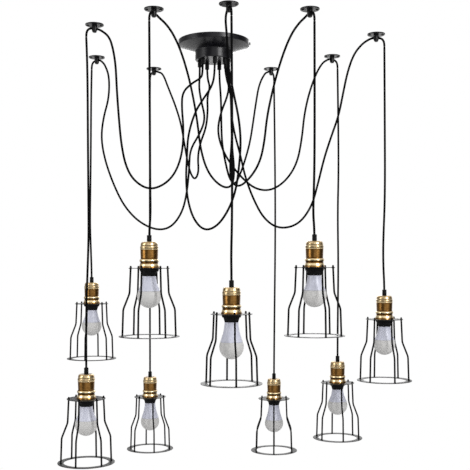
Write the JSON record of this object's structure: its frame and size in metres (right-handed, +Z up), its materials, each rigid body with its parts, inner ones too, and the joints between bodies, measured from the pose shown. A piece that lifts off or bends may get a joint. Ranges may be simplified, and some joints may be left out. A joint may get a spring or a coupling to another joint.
{
  "type": "cage pendant light",
  "caption": "Multi-drop hanging light: a round ceiling canopy feeds swagged cords through ceiling hooks to wire-cage pendants with brass lampholders and lamps.",
  "frame": {"origin": "middle of the canopy's mounting bar, on the ceiling plane", "axes": "+Z up into the ceiling, -Y towards the viewer of the picture, +X to the viewer's right"},
  "size_m": [1.0232, 0.8837, 1.265],
  "materials": {
    "black_steel": "satin black powder coat over welded steel",
    "brass": "antique brass, polished on its high places",
    "black_moulding": "moulded black phenolic and nylon",
    "cord": "black braided textile over cable",
    "lamp_white": "white housing with a frosted dome",
    "canopy_black": "satin black paint over spun steel",
    "hook_steel": "black nickel look, semi-gloss",
    "zinc_steel": "zinc-plated strip steel",
    "terminal_white": "moulded polyamide"
  },
  "bodies": {
    "ceiling_fittings": {"canopy_shell": "canopy_black", "canopy_mounting_bar": "zinc_steel", "canopy_terminal_block": "terminal_white", "canopy_cord_grips": "black_moulding", "hook_plates": "hook_steel", "hook_posts": "hook_steel", "swag_cord_1": "cord", "swag_cord_2": "cord", "swag_cord_3": "cord", "swag_cord_4": "cord", "swag_cord_5": "cord", "swag_cord_6": "cord", "swag_cord_7": "cord", "swag_cord_8": "cord", "swag_cord_9": "cord"},
    "pendant_1": {"pendant_1_cord": "cord", "pendant_1_lampholder_shell": "brass", "pendant_1_lampholder_insert": "black_moulding", "pendant_1_cage": "black_steel"},
    "lamp_1": {"pendant_1_lamp": "lamp_white"},
    "pendant_2": {"pendant_2_cord": "cord", "pendant_2_lampholder_shell": "brass", "pendant_2_lampholder_insert": "black_moulding", "pendant_2_cage": "black_steel"},
    "lamp_2": {"pendant_2_lamp": "lamp_white"},
    "pendant_3": {"pendant_3_cord": "cord", "pendant_3_lampholder_shell": "brass", "pendant_3_lampholder_insert": "black_moulding", "pendant_3_cage": "black_steel"},
    "lamp_3": {"pendant_3_lamp": "lamp_white"},
    "pendant_4": {"pendant_4_cord": "cord", "pendant_4_lampholder_shell": "brass", "pendant_4_lampholder_insert": "black_moulding", "pendant_4_cage": "black_steel"},
    "lamp_4": {"pendant_4_lamp": "lamp_white"},
    "pendant_5": {"pendant_5_cord": "cord", "pendant_5_lampholder_shell": "brass", "pendant_5_lampholder_insert": "black_moulding", "pendant_5_cage": "black_steel"},
    "lamp_5": {"pendant_5_lamp": "lamp_white"},
    "pendant_6": {"pendant_6_cord": "cord", "pendant_6_lampholder_shell": "brass", "pendant_6_lampholder_insert": "black_moulding", "pendant_6_cage": "black_steel"},
    "lamp_6": {"pendant_6_lamp": "lamp_white"},
    "pendant_7": {"pendant_7_cord": "cord", "pendant_7_lampholder_shell": "brass", "pendant_7_lampholder_insert": "black_moulding", "pendant_7_cage": "black_steel"},
    "lamp_7": {"pendant_7_lamp": "lamp_white"},
    "pendant_8": {"pendant_8_cord": "cord", "pendant_8_lampholder_shell": "brass", "pendant_8_lampholder_insert": "black_moulding", "pendant_8_cage": "black_steel"},
    "lamp_8": {"pendant_8_lamp": "lamp_white"},
    "pendant_9": {"pendant_9_cord": "cord", "pendant_9_lampholder_shell": "brass", "pendant_9_lampholder_insert": "black_moulding", "pendant_9_cage": "black_steel"},
    "lamp_9": {"pendant_9_lamp": "lamp_white"}
  },
  "joints": [
    {"name": "pendant_1_swing", "type": "hinge", "parent": "ceiling_fittings", "child": "pendant_1", "pos_m": [-0.33967, -0.18208, -0.039], "axis": [1, 0, 0], "range_deg": [-10, 10]},
    {"name": "lamp_1_turn", "type": "hinge", "parent": "pendant_1", "child": "lamp_1", "pos_m": [-0.33967, -0.18208, -1.011], "axis": [0, 0, 1], "range_deg": [0, 900]},
    {"name": "pendant_2_swing", "type": "hinge", "parent": "ceiling_fittings", "child": "pendant_2", "pos_m": [-0.38837, 0.19384, -0.039], "axis": [1, 0, 0], "range_deg": [-10, 10]},
    {"name": "lamp_2_turn", "type": "hinge", "parent": "pendant_2", "child": "lamp_2", "pos_m": [-0.38837, 0.19384, -0.77], "axis": [0, 0, 1], "range_deg": [0, 900]},
    {"name": "pendant_3_swing", "type": "hinge", "parent": "ceiling_fittings", "child": "pendant_3", "pos_m": [-0.15472, -0.33185, -0.039], "axis": [1, 0, 0], "range_deg": [-10, 10]},
    {"name": "lamp_3_turn", "type": "hinge", "parent": "pendant_3", "child": "lamp_3", "pos_m": [-0.15472, -0.33185, -0.66], "axis": [0, 0, 1], "range_deg": [0, 900]},
    {"name": "pendant_4_swing", "type": "hinge", "parent": "ceiling_fittings", "child": "pendant_4", "pos_m": [-0.22078, 0.34962, -0.039], "axis": [1, 0, 0], "range_deg": [-10, 10]},
    {"name": "lamp_4_turn", "type": "hinge", "parent": "pendant_4", "child": "lamp_4", "pos_m": [-0.22078, 0.34962, -1.085], "axis": [0, 0, 1], "range_deg": [0, 900]},
    {"name": "pendant_5_swing", "type": "hinge", "parent": "ceiling_fittings", "child": "pendant_5", "pos_m": [0.05273, -0.376, -0.039], "axis": [1, 0, 0], "range_deg": [-10, 10]},
    {"name": "lamp_5_turn", "type": "hinge", "parent": "pendant_5", "child": "lamp_5", "pos_m": [0.05273, -0.376, -0.773], "axis": [0, 0, 1], "range_deg": [0, 900]},
    {"name": "pendant_6_swing", "type": "hinge", "parent": "ceiling_fittings", "child": "pendant_6", "pos_m": [0.19108, 0.35467, -0.039], "axis": [1, 0, 0], "range_deg": [-10, 10]},
    {"name": "lamp_6_turn", "type": "hinge", "parent": "pendant_6", "child": "lamp_6", "pos_m": [0.19108, 0.35467, -1.092], "axis": [0, 0, 1], "range_deg": [0, 900]},
    {"name": "pendant_7_swing", "type": "hinge", "parent": "ceiling_fittings", "child": "pendant_7", "pos_m": [0.26172, -0.33185, -0.039], "axis": [1, 0, 0], "range_deg": [-10, 10]},
    {"name": "lamp_7_turn", "type": "hinge", "parent": "pendant_7", "child": "lamp_7", "pos_m": [0.26172, -0.33185, -0.658], "axis": [0, 0, 1], "range_deg": [0, 900]},
    {"name": "pendant_8_swing", "type": "hinge", "parent": "ceiling_fittings", "child": "pendant_8", "pos_m": [0.38161, 0.18052, -0.039], "axis": [1, 0, 0], "range_deg": [-10, 10]},
    {"name": "lamp_8_turn", "type": "hinge", "parent": "pendant_8", "child": "lamp_8", "pos_m": [0.38161, 0.18052, -1.016], "axis": [0, 0, 1], "range_deg": [0, 900]},
    {"name": "pendant_9_swing", "type": "hinge", "parent": "ceiling_fittings", "child": "pendant_9", "pos_m": [0.48191, -0.081, -0.039], "axis": [1, 0, 0], "range_deg": [-10, 10]},
    {"name": "lamp_9_turn", "type": "hinge", "parent": "pendant_9", "child": "lamp_9", "pos_m": [0.48191, -0.081, -0.803], "axis": [0, 0, 1], "range_deg": [0, 900]}
  ]
}
